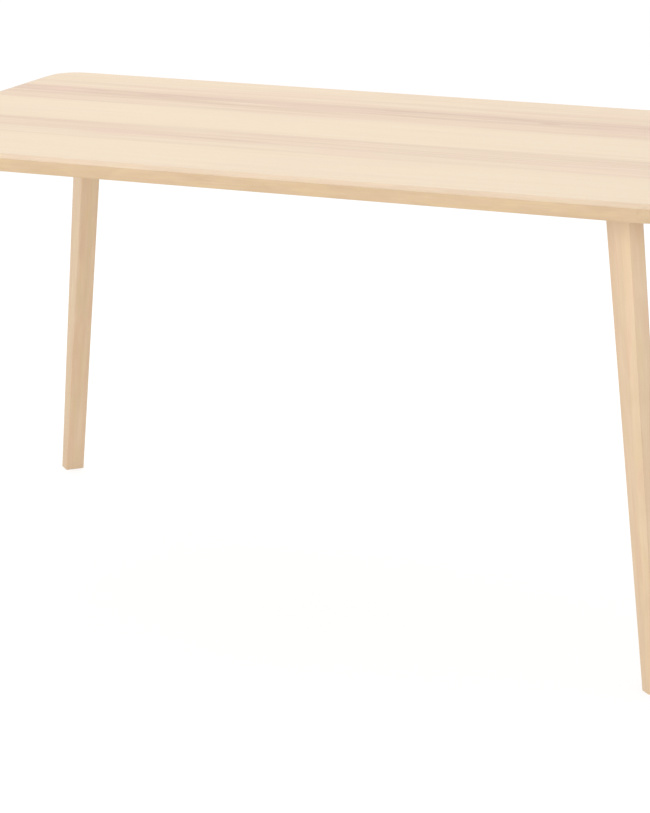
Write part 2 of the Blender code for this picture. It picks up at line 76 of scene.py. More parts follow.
# Rim
BEVEL_H = 0.005             # the rim slopes down by this height over BEVEL_W
RIM_ARRIS = 0.0012          # radius of the edge between bevel and side
RIM_FOOT = 0.0010           # radius of the rim's lower edge
ARC_STEPS = 32              # chords in each rounded corner

# Legs, placed as in the CAD: a section turned to face the corner, tapering towards the foot
LEG_TOP = Vector((0.5869, 0.2879, 0.0))
LEG_FOOT = Vector((0.6774, 0.3549, 0.0))
LEG_TOP_DEPTH = 0.0600      # along the diagonal
LEG_FOOT_DEPTH = 0.0315
LEG_ACROSS = 0.034
LEG_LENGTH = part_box("leg_back_right")[1].z
LEG_FACET_FACE = 0.0079     # flat taken off the long edge by the side: off the outer face ...
LEG_FACET_SIDE = 0.0115     # ... and off the leg's flank
LEG_FACET_SOFT = 0.0160     # radius where that flat meets the flank
LEG_FACET_CRISP = 0.0030    # radius where it meets the outer face
LEG_BOW = 0.0030            # how far the outer face falls back towards the table's end
LEG_BOW_R = 0.1000          # radius in the middle of the outer face
LEG_OUTER = 0.0035          # radius of the other outer long edge, by the table's end
LEG_INNER = 0.0016          # radius of the inner long edges
LEG_EASE = 0.0014           # rounding round the foot
LEG_EASE_STEPS = 4
LEG_RINGS = 28              # slices from the eased foot to the top
OUTWARD = Vector((1.0, 1.0, 0.0)).normalized()
ACROSS = Vector((-1.0, 1.0, 0.0)).normalized()

# Bolts, washers and screws, as in the CAD, with the threads that it leaves out
BOLT_HEAD_R = 0.0065
BOLT_HEAD_H = 0.008
BOLT_HEAD_EASE = 0.0002     # under the head
BOLT_CHAMFER = 0.0008
BOLT_R = 0.004
BOLT_SOCKET = 0.006         # across the flats of the hexagon
BOLT_PITCH = 0.00125
BOLT_THREADED = 0.030       # length of the threaded end
BOLT_THREAD_TURNS = 22
WASHER_T = 0.0016
WASHER_CHAMFER = 0.0003
SCREW_HEAD_R = 0.004
SCREW_HEAD_H = 0.0024
SCREW_HEAD_EASE = 0.0003    # rim of the countersunk head
SCREW_R = 0.002
SCREW_POINT = 0.005         # length of the tapered point
SCREW_PITCH = 0.0018
SCREW_THREAD_TURNS = 14
SCREW_NECK = 0.002          # plain neck between head and thread
THREAD_DEPTH = 0.0006
RECESS_FACE = (0.0048, 0.0010)      # length and width of the recess's arms at the head's face ...
RECESS_FLOOR = (0.0022, 0.0006)     # ... and at its bottom
RECESS_DEPTH = 0.0018
CUTTER_ROOM = 0.0005        # cutters stand this far clear of the face they cut through
BOLT_STEPS = 40             # facets round bolts and washers
SCREW_STEPS = 32
SLIVER = 0.000005           # edges shorter than this are merged after a cut

SHARP_ANGLE = math.radians(32)      # flatter edges are shaded smooth

# Camera, at the photograph's viewpoint
CAMERA_PLACE = (1.8119, -4.3601, 1.6120)
CAMERA_YAW = 0.39604        # turned left of the +Y direction, in radians
CAMERA_PITCH = 0.27441      # looking down
CAMERA_ROLL = -0.00296
CAMERA_LENS = 129.92        # millimetres
SENSOR_WIDTH = 36.0

QUARTERS = {
    "front_left": (-1, -1),
    "front_right": (1, -1),
    "back_left": (-1, 1),
    "back_right": (1, 1),
}


# ---------------------------------------------------------------- shader helpers

def linear(srgb):
    """A colour in sRGB, 0 to 255, as the linear values a shader takes."""
    values = [channel / 255 for channel in srgb]
    return [v / 12.92 if v <= 0.04045 else ((v + 0.055) / 1.055) ** 2.4 for v in values]


class Shader:
    """Short-hand for building one material out of nodes."""

    def __init__(self, name, roughness, metallic=0.0, coat=0.0):
        self.material = bpy.data.materials.new(name)
        self.material.use_nodes = True
        self.nodes = self.material.node_tree.nodes
        self.links = self.material.node_tree.links
        self.surface = self.nodes["Principled BSDF"]
        self.surface.inputs["Roughness"].default_value = roughness
        self.surface.inputs["Metallic"].default_value = metallic
        self.surface.inputs["Coat Weight"].default_value = coat
        self.surface.inputs["Coat Roughness"].default_value = 0.22
        self.place = self.add("ShaderNodeTexCoord").outputs["Object"]

    def add(self, kind, inputs=(), **settings):
        """A new node, its inputs linked or set and its properties set."""
        node = self.nodes.new(kind)
        for name, value in settings.items():
            setattr(node, name, value)
        for key, value in dict(inputs).items():
            if isinstance(value, bpy.types.NodeSocket):
                self.links.new(value, node.inputs[key])
            else:
                node.inputs[key].default_value = value
        return node

    def set(self, socket, value):
        """Link a value to the shader's own socket."""
        self.links.new(value, self.surface.inputs[socket])

    def maths(self, operation, first, second=0.0, third=0.0, clamp=False):
        """The result of one sum on numbers."""
        return self.add("ShaderNodeMath", {
            0: first, 1: second, 2: third,
        }, operation=operation, use_clamp=clamp).outputs[0]

    def mix(self, share, first, second, blend="MIX"):
        """A blend of two colours."""
        node = self.add("ShaderNodeMix", data_type="RGBA", blend_type=blend)
        for index, value in ((0, share), (6, first), (7, second)):
            if isinstance(value, bpy.types.NodeSocket):
                self.links.new(value, node.inputs[index])
            else:
                node.inputs[index].default_value = value if index == 0 else (*value[:3], 1.0)
        return node.outputs[2]

    def turn(self, vector, angles, shift):
        """The place turned by three angles, then moved."""
        return self.add("ShaderNodeMapping", {
            "Vector": vector, "Rotation": angles, "Location": shift,
        }, vector_type="POINT").outputs[0]

    def vector_maths(self, operation, first, second):
        """The result of one sum on vectors."""
        node = self.add("ShaderNodeVectorMath", {0: first, 1: second}, operation=operation)
        return node.outputs["Value" if operation == "LENGTH" else "Vector"]

    def stretch(self, vector, scale):
        """The vector times a scale along each axis."""
        return self.vector_maths("MULTIPLY", vector, scale)

    def noise(self, vector, detail=2.0, roughness=0.5, distortion=0.0):
        """Smooth noise around one half."""
        return self.add("ShaderNodeTexNoise", {
            "Vector": vector, "Scale": 1.0, "Detail": detail,
            "Roughness": roughness, "Distortion": distortion,
        }).outputs["Fac"]

    def ramp(self, value, stops, interpolation="EASE"):
        """Grey levels at positions from 0 to 1."""
        node = self.add("ShaderNodeValToRGB", {"Fac": value})
        node.color_ramp.interpolation = interpolation
        elements = node.color_ramp.elements
        while len(elements) > 1:
            elements.remove(elements[-1])
        elements[0].position = stops[0][0]
        elements[0].color = (*[stops[0][1]] * 3, 1.0)
        for position, level in stops[1:]:
            elements.new(position).color = (*[level] * 3, 1.0)
        return node.outputs["Color"]

    def bump(self, height, distance, strength=1.0):
        """Fine relief of the surface."""
        normal = self.add("ShaderNodeBump", {
            "Height": height, "Distance": distance, "Strength": strength,
        }).outputs[0]
        self.set("Normal", normal)


# ---------------------------------------------------------------- wood

LACQUER_ROUGHNESS = 0.36
ALONG_X = (0.0, 0.0, 0.0)
ALONG_Y = (0.0, 0.0, math.pi / 2)


def grain(shader, vector, layers):
    """Tone around 0 made of long streaks at several widths along the grain (X)."""
    total = 0.0
    for scale, amount, detail in layers:
        streak = shader.noise(shader.stretch(vector, scale), detail)
        total = shader.maths("ADD", shader.maths("MULTIPLY_ADD", streak, 2 * amount, -amount), total)
    return total


def wandering(shader, angles, shift):
    """The place with its grain turned to X, wandering slowly from side to side along it."""
    turned = shader.turn(shader.place, angles, shift)
    drift = shader.noise(shader.stretch(turned, (2.1, 5.0, 5.0)), 2.0)
    offset = shader.maths("MULTIPLY_ADD", drift, 0.012, -0.006)
    spread = shader.add("ShaderNodeCombineXYZ", {"Y": offset, "Z": offset}).outputs[0]
    return shader.vector_maths("ADD", turned, spread)


def pores(shader, vector, length, width, density):
    """Short dark dashes along the grain: 1 inside a pore, 0 between pores."""
    fine = shader.noise(shader.stretch(vector, (1 / length, 1 / width, 1 / width)), 1.0)
    return shader.ramp(fine, ((0.0, 0.0), (1.0 - density, 0.0), (1.07 - density, 1.0)))


def smudge(shader, place, x, y, half_length, half_width):
    """A soft oval mark: 1 in its middle, 0 outside."""
    local = shader.vector_maths("SUBTRACT", place, (x, y, 0.0))
    local = shader.stretch(local, (1 / half_length, 1 / half_width, 0.0))
    away = shader.vector_maths("LENGTH", local, (0.0, 0.0, 0.0))
    return shader.ramp(away, ((0.0, 1.0), (1.0, 0.0)))


ASH_PALE = (211, 187, 153)
ASH_DARK = (183, 148, 117)
ASH_PINK = (201, 161, 139)
ASH_PORE = (175, 147, 116)

# Marks in the figure of the top: middle x and y, half length, half width, darkness
ASH_MARKS = (
    (-0.265, 0.204, 0.120, 0.0060, 0.34),
    (-0.230, 0.181, 0.130, 0.0080, -0.42),
    (-0.250, 0.162, 0.110, 0.0045, 0.30),
    (-0.530, 0.210, 0.035, 0.0070, 0.34),
    (-0.407, 0.200, 0.045, 0.0110, 0.42),
    (0.045, 0.203, 0.040, 0.0080, 0.38),
    (0.120, 0.168, 0.120, 0.0080, 0.26),
    (0.313, 0.187, 0.026, 0.0100, 0.85),
    (0.200, 0.190, 0.060, 0.0060, 0.20),
    (0.400, 0.180, 0.060, 0.0120, 0.24),
    (-0.600, -0.082, 0.160, 0.0050, 0.20),
    (-0.100, -0.086, 0.160, 0.0060, 0.18),
    (-0.130, -0.136, 0.160, 0.0080, 0.30),
    (0.250, -0.130, 0.220, 0.0070, 0.24),
    (0.350, -0.150, 0.250, 0.0040, 0.18),
)
ASH_BLUSHES = (
    (-0.040, 0.188, 0.115, 0.045),
    (-0.600, 0.200, 0.110, 0.050),
    (-0.330, -0.140, 0.090, 0.040),
)


def ash_leaf(name, low_y, high_y, profile, shift):
    """Clear-lacquered ash veneer, its grain along X.

    The profile says how dark the leaf is across its width, from its front edge (0) to
    its back edge (1).
    """
    shader = Shader(name, LACQUER_ROUGHNESS, coat=0.25)
    place = wandering(shader, ALONG_X, (0.0, 0.0, 0.0))
    moved = shader.vector_maths("ADD", place, (shift, shift * 0.37, shift * 1.9))
    across = shader.add("ShaderNodeSeparateXYZ", {0: place}).outputs["Y"]
    share = shader.add("ShaderNodeMapRange", {
        "Value": across, "From Min": low_y, "From Max": high_y,
    }).outputs[0]
    band = shader.ramp(share, profile)
    streaks = grain(shader, moved, (
        ((0.8, 18.0, 1.0), 0.35, 2.0),
        ((1.5, 110.0, 1.0), 0.90, 3.0),
        ((3.5, 320.0, 1.0), 1.25, 2.0),
    ))
    broken = shader.noise(shader.stretch(moved, (3.2, 24.0, 1.0)), 2.0)
    tone = shader.maths("MULTIPLY", band, shader.maths("MULTIPLY_ADD", broken, 1.1, 0.45))
    strength = shader.maths("MULTIPLY_ADD", band, 0.62, 0.12)
    tone = shader.maths("MULTIPLY_ADD", streaks, strength, tone)
    for x, y, half_length, half_width, darkness in ASH_MARKS:
        if low_y < y < high_y:
            mark = smudge(shader, place, x, y, half_length, half_width)
            tone = shader.maths("MULTIPLY_ADD", mark, darkness, tone)
    tone = shader.add("ShaderNodeClamp", {"Value": tone}).outputs[0]
    colour = shader.mix(tone, linear(ASH_PALE), linear(ASH_DARK))
    blush = shader.noise(shader.stretch(moved, (4.5, 11.0, 1.0)), 2.0, distortion=0.6)
    blush = shader.ramp(blush, ((0.0, 0.0), (0.48, 0.0), (0.72, 1.0)))
    warmth = shader.maths("MULTIPLY", blush, shader.maths("MULTIPLY_ADD", band, 0.35, 0.10))
    for x, y, half_length, half_width in ASH_BLUSHES:
        if low_y < y < high_y:
            rosy = smudge(shader, place, x, y, half_length, half_width)
            warmth = shader.maths("MULTIPLY_ADD", rosy, 0.38, warmth)
    colour = shader.mix(warmth, colour, linear(ASH_PINK))
    pore = pores(shader, moved, 0.009, 0.00045, 0.40)
    colour = shader.mix(shader.maths("MULTIPLY", pore, 0.10), colour, linear(ASH_PORE))
    shader.set("Base Color", colour)
    shader.set("Roughness", shader.maths("MULTIPLY_ADD", streaks, 0.05, LACQUER_ROUGHNESS))
    shader.bump(shader.maths("MULTIPLY", pore, -1.0), 0.00004)
    return shader.material


# Solid woods: pale and dark tone of each, the tints that drift through them, how strongly
# the figure shows, and how much pink there is
WOOD_ROSY = (200, 163, 136)
WOOD_STRAW = (203, 180, 134)
WOOD_FIGURE = 0.5
WOOD_ROSY_SHARE = 0.42
RIM_COLOURS = (201, 176, 142), (164, 134, 101)
RIM_FIGURE = 0.52
RIM_ROSY = 0.16
LEG_COLOURS = (213, 189, 160), (183, 157, 123)
# Painted shade: the legs' colour darkens towards the foot, against the light that the floor throws up
LEG_FOOT_PAINTED_SHADE = (178, 150, 118)
# Painted light: the legs' colour pales towards the top, against the shade under the tabletop
LEG_HEAD_PAINTED_LIGHT = (226, 202, 172)
LEG_ROUGHNESS = 0.58
FRAME_COLOURS = (205, 180, 144), (186, 156, 118)
BACKING_COLOURS = (214, 190, 158), (198, 171, 137)
DOWEL_COLOURS = (196, 158, 118), (170, 130, 92)


def figured(shader, place, pale, dark, figure, rosy):
    """Colour, streaks and pores of pale solid wood with its grain along X.

    The figure says how strongly the streaks and the flame show, and rosy how much
    pink drifts through.
    """
    streaks = grain(shader, place, (
        ((2.0, 34.0, 34.0), 0.34, 2.0),
        ((7.0, 130.0, 130.0), 0.40, 3.0),
        ((14.0, 420.0, 420.0), 0.30, 2.0),
    ))
    flame = shader.noise(shader.stretch(place, (14.0, 40.0, 40.0)), 2.0, distortion=0.8)
    total = shader.maths("ADD", streaks, shader.maths("MULTIPLY_ADD", flame, 0.8, -0.4))
    tone = shader.maths("MULTIPLY_ADD", total, figure, 0.34, clamp=True)
    colour = shader.mix(tone, linear(pale), linear(dark))
    for tint, scale, share in (
        (WOOD_ROSY, (9.0, 70.0, 70.0), rosy),
        (WOOD_STRAW, (13.0, 95.0, 95.0), 0.26),
    ):
        drift = shader.noise(shader.stretch(place, scale), 2.0, distortion=0.5)
        drift = shader.ramp(drift, ((0.0, 0.0), (0.47, 0.0), (0.72, share)))
        colour = shader.mix(drift, colour, linear(tint))
    pore = pores(shader, place, 0.004, 0.0003, 0.36)
    colour = shader.mix(shader.maths("MULTIPLY", pore, 0.12), colour, linear(dark))
    return colour, streaks, pore


def within(shader, angles, shift):
    """Where in its own piece of timber a part was cut; the angles turn its grain to X."""
    return wandering(shader, angles, (shift, shift * 0.61, shift * 1.3))


def finish_wood(shader, colour, streaks, pore, roughness):
    """Colour, gloss and relief of solid wood."""
    shader.set("Base Color", colour)
    shader.set("Roughness", shader.maths("MULTIPLY_ADD", streaks, 0.06, roughness))
    shader.bump(shader.maths("MULTIPLY_ADD", streaks, 0.5, pore), 0.00005, 0.6)
    return shader.material


def rim_wood(name, angles, shift):
    """The rim's yellower wood, lacquered like the top."""
    shader = Shader(name, LACQUER_ROUGHNESS, coat=0.2)
    place = within(shader, angles, shift)
    colour, streaks, pore = figured(shader, place, *RIM_COLOURS, RIM_FIGURE, RIM_ROSY)
    return finish_wood(shader, colour, streaks, pore, LACQUER_ROUGHNESS)


def frame_wood(name, colours, angles, shift, roughness):
    """Plain unlacquered wood of the parts under the top."""
    shader = Shader(name, roughness)
    place = within(shader, angles, shift)
    colour, streaks, pore = figured(shader, place, *colours, WOOD_FIGURE, WOOD_ROSY_SHARE)
    return finish_wood(shader, colour, streaks, pore, roughness)


def leg_wood(name, angles, shift):
    """The legs' duller wood, with painted light that pales it towards the top and painted shade that
    darkens it towards the foot.
    """
    shader = Shader(name, LEG_ROUGHNESS)
    place = within(shader, angles, shift)
    colour, streaks, pore = figured(shader, place, *LEG_COLOURS, WOOD_FIGURE, WOOD_ROSY_SHARE)
    height = shader.add("ShaderNodeSeparateXYZ", {0: shader.place}).outputs["Z"]
    # Painted shade fades in towards the foot and painted light towards the top
    for tint, start, end, share in (
        (LEG_FOOT_PAINTED_SHADE, 0.50, 0.0, 0.13),
        (LEG_HEAD_PAINTED_LIGHT, 0.45, LEG_LENGTH, 0.26),
    ):
        fade = shader.add("ShaderNodeMapRange", {
            "Value": height, "From Min": start, "From Max": end, "To Max": share,
        }).outputs[0]
        colour = shader.mix(fade, colour, linear(tint))
    return finish_wood(shader, colour, streaks, pore, LEG_ROUGHNESS)


def chipboard():
    """Pressed chips: pale and brown flakes of mixed size."""
    shader = Shader("chipboard", 0.85)
    chips = shader.add("ShaderNodeTexVoronoi", {
        "Vector": shader.stretch(shader.place, (300.0, 420.0, 900.0)), "Scale": 1.0,
    }).outputs["Color"]
    value = shader.add("ShaderNodeSeparateColor", {0: chips}).outputs[0]
    dust = shader.noise(shader.stretch(shader.place, (1500.0,) * 3), 2.0)
    tone = shader.maths("MULTIPLY", shader.maths("ADD", value, dust), 0.5)
    shader.set("Base Color", shader.mix(tone, linear((206, 178, 136)), linear((142, 110, 74))))
    shader.bump(tone, 0.0004, 0.7)
    return shader.material


def metal(name, srgb, roughness, grime):
    """Plated or blackened steel with slight cloudiness and fine handling marks."""
    shader = Shader(name, roughness, metallic=1.0)
    cloud = shader.noise(shader.stretch(shader.place, (260.0,) * 3), 3.0)
    marks = shader.noise(shader.stretch(shader.place, (3000.0, 500.0, 3000.0)), 2.0)
    tone = shader.maths("MULTIPLY", shader.maths("ADD", cloud, marks), 0.5)
    dark = [channel * grime for channel in linear(srgb)]
    shader.set("Base Color", shader.mix(tone, linear(srgb), dark))
    shader.set("Roughness", shader.maths("MULTIPLY_ADD", tone, 0.22, roughness - 0.08))
    shader.bump(marks, 0.00002, 0.5)
    return shader.material


# ---------------------------------------------------------------- mesh helpers

def piece(name, bm, material, stands_for):
    """Finish a mesh as a visible piece that takes a CAD node's place."""
    bmesh.ops.recalc_face_normals(bm, faces=bm.faces)
    mesh = bpy.data.meshes.new(name)
    bm.to_mesh(mesh)
    bm.free()
    mesh.shade_smooth()
    mesh.set_sharp_from_angle(angle=SHARP_ANGLE)
    obj = bpy.data.objects.new(name, mesh)
    bpy.context.scene.collection.objects.link(obj)
    obj.data.materials.append(material)
    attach(obj, "root")
    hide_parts(stands_for)
    return obj


def rounded(points, radii, steps=5):
    """A closed outline with each corner turned into an arc of its own radius."""
    outline = []
    count = len(points)
    for index, (point, radius) in enumerate(zip(points, radii)):
        corner = Vector(point)
        before = (Vector(points[index - 1]) - corner).normalized()
        after = (Vector(points[(index + 1) % count]) - corner).normalized()
        if radius == 0.0:
            outline.append(corner)
            continue
        half = before.angle(after) / 2
        centre = corner + (before + after).normalized() * (radius / math.sin(half))
        first = corner + before * (radius / math.tan(half)) - centre
        last = corner + after * (radius / math.tan(half)) - centre
        sweep = first.angle_signed(last)
        for step in range(steps + 1):
            turn = Matrix.Rotation(-sweep * step / steps, 2)
            outline.append(centre + turn @ first)
    return outline


def loft(bm, rings):
    """Skin rings of equal length, and close both ends."""
    loops = [[bm.verts.new(point) for point in ring] for ring in rings]
    for lower, upper in zip(loops, loops[1:]):
        for index in range(len(lower)):
            following = (index + 1) % len(lower)
            bm.faces.new((lower[index], lower[following], upper[following], upper[index]))
    bm.faces.new(list(reversed(loops[0])))
    bm.faces.new(loops[-1])


def turned(profile, steps):
    """A bmesh turned about Z from (radius, height) points."""
    bm = bmesh.new()
    verts = [bm.verts.new((radius, 0.0, height)) for radius, height in profile]
    edges = [bm.edges.new(pair) for pair in zip(verts, verts[1:])]
    if profile[0][0] > 0.0:
        edges.append(bm.edges.new((verts[-1], verts[0])))
    bmesh.ops.spin(
        bm, geom=verts + edges, cent=(0, 0, 0), axis=(0, 0, 1),
        angle=math.tau, steps=steps, use_merge=True,
    )
    bmesh.ops.remove_doubles(bm, verts=bm.verts, dist=0.000001)
    return bm


def carved(bm, cutter):
    """The first shape with the second cut out of it."""
    objects = []
    for name, shape in (("carved", bm), ("carver", cutter)):
        bmesh.ops.recalc_face_normals(shape, faces=shape.faces)
        mesh = bpy.data.meshes.new(name)
        shape.to_mesh(mesh)
        shape.free()
        obj = bpy.data.objects.new(name, mesh)
        bpy.context.scene.collection.objects.link(obj)
        objects.append(obj)
    body, tool = objects
    modifier = body.modifiers.new("Cut", "BOOLEAN")
    modifier.object = tool
    modifier.solver = "EXACT"
    bpy.context.view_layer.update()
    evaluated = body.evaluated_get(bpy.context.evaluated_depsgraph_get())
    result = bmesh.new()
    result.from_mesh(evaluated.to_mesh())
    bmesh.ops.dissolve_degenerate(result, dist=SLIVER, edges=result.edges)
    for obj in objects:
        bpy.data.objects.remove(obj, do_unlink=True)
    return result


def grain_angles(along):
    """Angles that turn this direction to X."""
    return along.to_track_quat("X", "Z").inverted().to_euler()


def facing(direction, point):
    """A placement that turns +Z to a direction and moves the origin to a point."""
    return Matrix.Translation(point) @ Vector(direction).to_track_quat("Z", "Y").to_matrix().to_4x4()


# ---------------------------------------------------------------- top

def leaf_outline(low, high, front_round, back_round):
    """Plan of one veneer leaf: it runs out to the bevel, and the outer leaves turn the corners."""
    reach = HALF_X - BEVEL_W
    radius = CORNER_R - BEVEL_W
    points = []
    corners = (
        (-reach, low, 180, front_round),
        (reach, low, 270, front_round),
        (reach, high, 0, back_round),
        (-reach, high, 90, back_round),
    )
    for x, y, start, is_round in corners:
        if not is_round:
            points.append((x, y))
            continue
        centre = (math.copysign(reach - radius, x), math.copysign(HALF_Y - BEVEL_W - radius, y))
        for step in range(ARC_STEPS + 1):
            angle = math.radians(start + 90 * step / ARC_STEPS)
            points.append((centre[0] + radius * math.cos(angle), centre[1] + radius * math.sin(angle)))
    return points


LEAF_PROFILES = (
    ((0.0, 0.08), (0.15, 0.03), (0.5, 0.0), (0.92, 0.04), (1.0, 0.20)),
    ((0.0, 0.30), (0.03, 0.32), (0.07, 0.20), (0.15, 0.22), (0.28, 0.32), (0.42, 0.48),
     (0.58, 0.42), (0.72, 0.32), (0.84, 0.34), (0.91, 0.50), (0.96, 0.36), (1.0, 0.28)),
    ((0.0, 0.12), (0.10, 0.04), (0.5, 0.0), (0.85, 0.02), (0.95, 0.10), (1.0, 0.18)),
    ((0.0, 0.42), (0.03, 0.34), (0.08, 0.38), (0.16, 0.30), (0.24, 0.38), (0.31, 0.62),
     (0.40, 0.68), (0.50, 0.64), (0.60, 0.70), (0.68, 0.62), (0.74, 0.42), (0.80, 0.30),
     (0.86, 0.20), (0.93, 0.18), (0.97, 0.34), (1.0, 0.34)),
    ((0.0, 0.34), (0.06, 0.26), (0.16, 0.17), (1.0, 0.14)),
)


def build_leaves():
    """Five ash leaves laid edge to edge, pale and streaked by turns."""
    boxes = [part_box(node) for node in LEAVES]
    joints = [(one[1].y + other[0].y) / 2 for one, other in zip(boxes, boxes[1:])]
    edges = [BEVEL_W - HALF_Y, *joints, HALF_Y - BEVEL_W]
    for index, (node, low, high) in enumerate(zip(LEAVES, edges, edges[1:])):
        material = ash_leaf(f"ash_leaf_{index + 1}", low, high, LEAF_PROFILES[index], 3.1 * index)
        bm = bmesh.new()
        outline = leaf_outline(low, high, index == 0, index == len(LEAVES) - 1)
        loft(bm, [[(x, y, z) for x, y in outline] for z in (HEIGHT - VENEER_T, HEIGHT)])
        piece(f"ash_top_leaf_{index + 1}", bm, material, node)


def rim_section():
    """The rim's section as (distance in from the edge, height), with rounded arrises."""
    rebate = HEIGHT - VENEER_T
    points = (
        (0.0, UNDERSIDE),
        (0.0, HEIGHT - BEVEL_H),
        (BEVEL_W, HEIGHT),
        (BEVEL_W, rebate),
        (LIPPING_W, rebate),
        (LIPPING_W, UNDERSIDE),
    )
    return rounded(points, (RIM_FOOT, RIM_ARRIS, 0.0, 0.0, 0.0, 0.0))


def build_rim():
    """Bevelled rim: four straight strips and four rounded corner pieces."""
    section = rim_section()
    sides = {
        "lipping_right": (0, HALF_X, HALF_Y - CORNER_R),
        "lipping_back": (90, HALF_Y, HALF_X - CORNER_R),
        "lipping_left": (180, HALF_X, HALF_Y - CORNER_R),
        "lipping_front": (270, HALF_Y, HALF_X - CORNER_R),
    }
    for number, (node, (angle, reach, half_length)) in enumerate(sides.items()):
        turn = Matrix.Rotation(math.radians(angle), 3, "Z")
        bm = bmesh.new()
        loft(bm, [
            [turn @ Vector((reach - inset, along, z)) for inset, z in section]
            for along in (-half_length, half_length)
        ])
        angles = ALONG_X if node in ("lipping_front", "lipping_back") else ALONG_Y
        material = rim_wood(f"rim_birch_{number}", angles, 5.3 + number)
        piece(node.replace("lipping", "rim"), bm, material, node)
    for number, (quarter, (sign_x, sign_y)) in enumerate(QUARTERS.items()):
        centre = Vector((HALF_X - CORNER_R, HALF_Y - CORNER_R, 0.0))
        rings = []
        for step in range(ARC_STEPS + 1):
            angle = math.radians(90 * step / ARC_STEPS)
            out = Vector((math.cos(angle), math.sin(angle), 0.0))
            rings.append([
                centre + out * (CORNER_R - inset) + Vector((0.0, 0.0, z)) for inset, z in section
            ])
        rings = [[Vector((p.x * sign_x, p.y * sign_y, p.z)) for p in ring] for ring in rings]
        bm = bmesh.new()
        loft(bm, rings)
        angles = grain_angles(Vector((-sign_x, sign_y, 0.0)))
        material = rim_wood(f"rim_corner_birch_{number}", angles, 9.7 + number)
        piece(f"rim_corner_{quarter}", bm, material, f"lipping_corner_{quarter}")


# ---------------------------------------------------------------- legs

def leg_section(depth, across):
    """The leg's section as (outward, across) points, anticlockwise."""
    out = depth / 2
    side = across / 2
    points = (
        (-out, -side),
        (out - LEG_BOW, -side),
        (out, 0.0),
        (out, side - LEG_FACET_FACE),
        (out - LEG_FACET_SIDE, side),
        (-out, side),
    )
    radii = (LEG_INNER, LEG_OUTER, LEG_BOW_R, LEG_FACET_CRISP, LEG_FACET_SOFT, LEG_INNER)
    return rounded(points, radii, steps=6)


def leg_ring(height, shrink):
    """One slice of the back right leg, drawn in by a shrink near its foot."""
    share = height / LEG_LENGTH
    centre = LEG_FOOT.lerp(LEG_TOP, share)
    depth = LEG_FOOT_DEPTH + (LEG_TOP_DEPTH - LEG_FOOT_DEPTH) * share - 2 * shrink
    return [
        centre + OUTWARD * out + ACROSS * side + Vector((0.0, 0.0, height))
        for out, side in leg_section(depth, LEG_ACROSS - 2 * shrink)
    ]


def leg_rings():
    """Slices from the eased foot to the top."""
    rings = []
    for step in range(LEG_EASE_STEPS + 1):
        angle = math.radians(90 * step / LEG_EASE_STEPS)
        rings.append(leg_ring(LEG_EASE * (1 - math.cos(angle)), LEG_EASE * (1 - math.sin(angle))))
    for step in range(1, LEG_RINGS + 1):
        rings.append(leg_ring(LEG_EASE + (LEG_LENGTH - LEG_EASE) * step / LEG_RINGS, 0.0))
    return rings


def build_legs():
    """Four splayed legs, each with its grain running down its own leaning axis."""
    rings = leg_rings()
    for number, (quarter, (sign_x, sign_y)) in enumerate(QUARTERS.items()):
        bm = bmesh.new()
        loft(bm, [[Vector((p.x * sign_x, p.y * sign_y, p.z)) for p in ring] for ring in rings])
        lean = LEG_FOOT - LEG_TOP
        angles = grain_angles(Vector((lean.x * sign_x, lean.y * sign_y, -LEG_LENGTH)))
        shift = 1.7 * number + 0.9
        material = leg_wood(f"leg_birch_{quarter}", angles, shift)
        piece(f"tapered_leg_{quarter}", bm, material, f"leg_{quarter}")


# ---------------------------------------------------------------- fittings

def thread(radius, start, pitch, turns):
    """Profile points of a thread's crests and roots, from its start downwards."""
    points = []
    for turn in range(turns):
        crest = start - turn * pitch
        points += [(radius, crest), (radius - THREAD_DEPTH, crest - pitch / 2)]
    return points


def build_bolts(black, zinc):
    """Socket-head bolts with a turned, threaded shank, and their washers."""
    for quarter, (sign_x, sign_y) in QUARTERS.items():
        low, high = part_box(f"leg_bolt_{quarter}")
        middle = (low + high) / 2
        inward = Vector((-sign_x, -sign_y, 0.0)).normalized()
        length = (high - low).to_2d().length - 2 * BOLT_HEAD_R
        shank = length - BOLT_HEAD_H
        profile = [
            (0.0, length),
            (BOLT_HEAD_R - BOLT_CHAMFER, length),
            (BOLT_HEAD_R, length - BOLT_CHAMFER),
            (BOLT_HEAD_R, shank + BOLT_HEAD_EASE),
            (BOLT_HEAD_R - BOLT_HEAD_EASE, shank),
            (BOLT_R, shank),
            *thread(BOLT_R, BOLT_THREADED, BOLT_PITCH, BOLT_THREAD_TURNS),
            (BOLT_R - BOLT_CHAMFER, 0.0),
            (0.0, 0.0),
        ]
        socket = bmesh.new()
        bmesh.ops.create_cone(
            socket, cap_ends=True, segments=6, radius1=BOLT_SOCKET / math.sqrt(3),
            radius2=BOLT_SOCKET / math.sqrt(3), depth=BOLT_HEAD_H,
            matrix=Matrix.Translation((0, 0, length)),
        )
        bm = carved(turned(profile, BOLT_STEPS), socket)
        place = facing(inward, middle - inward * length / 2)
        bmesh.ops.transform(bm, matrix=place, verts=bm.verts)
        piece(f"socket_bolt_{quarter}", bm, black, f"leg_bolt_{quarter}")
        build_washer(quarter, inward, zinc)


def build_washer(quarter, inward, zinc):
    """Flat washer under a bolt's head, chamfered on the side that shows."""
    low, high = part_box(f"washer_{quarter}")
    outer = (high.z - low.z) / 2
    inner = BOLT_R + GAP
    bm = turned((
        (outer - WASHER_CHAMFER, WASHER_T),
        (outer, WASHER_T - WASHER_CHAMFER),
        (outer, 0.0),
        (inner, 0.0),
        (inner, WASHER_T - WASHER_CHAMFER),
        (inner + WASHER_CHAMFER, WASHER_T),
    ), BOLT_STEPS)
    place = facing(inward, (low + high) / 2 - inward * WASHER_T / 2)
    bmesh.ops.transform(bm, matrix=place, verts=bm.verts)
    piece(f"flat_washer_{quarter}", bm, zinc, f"washer_{quarter}")


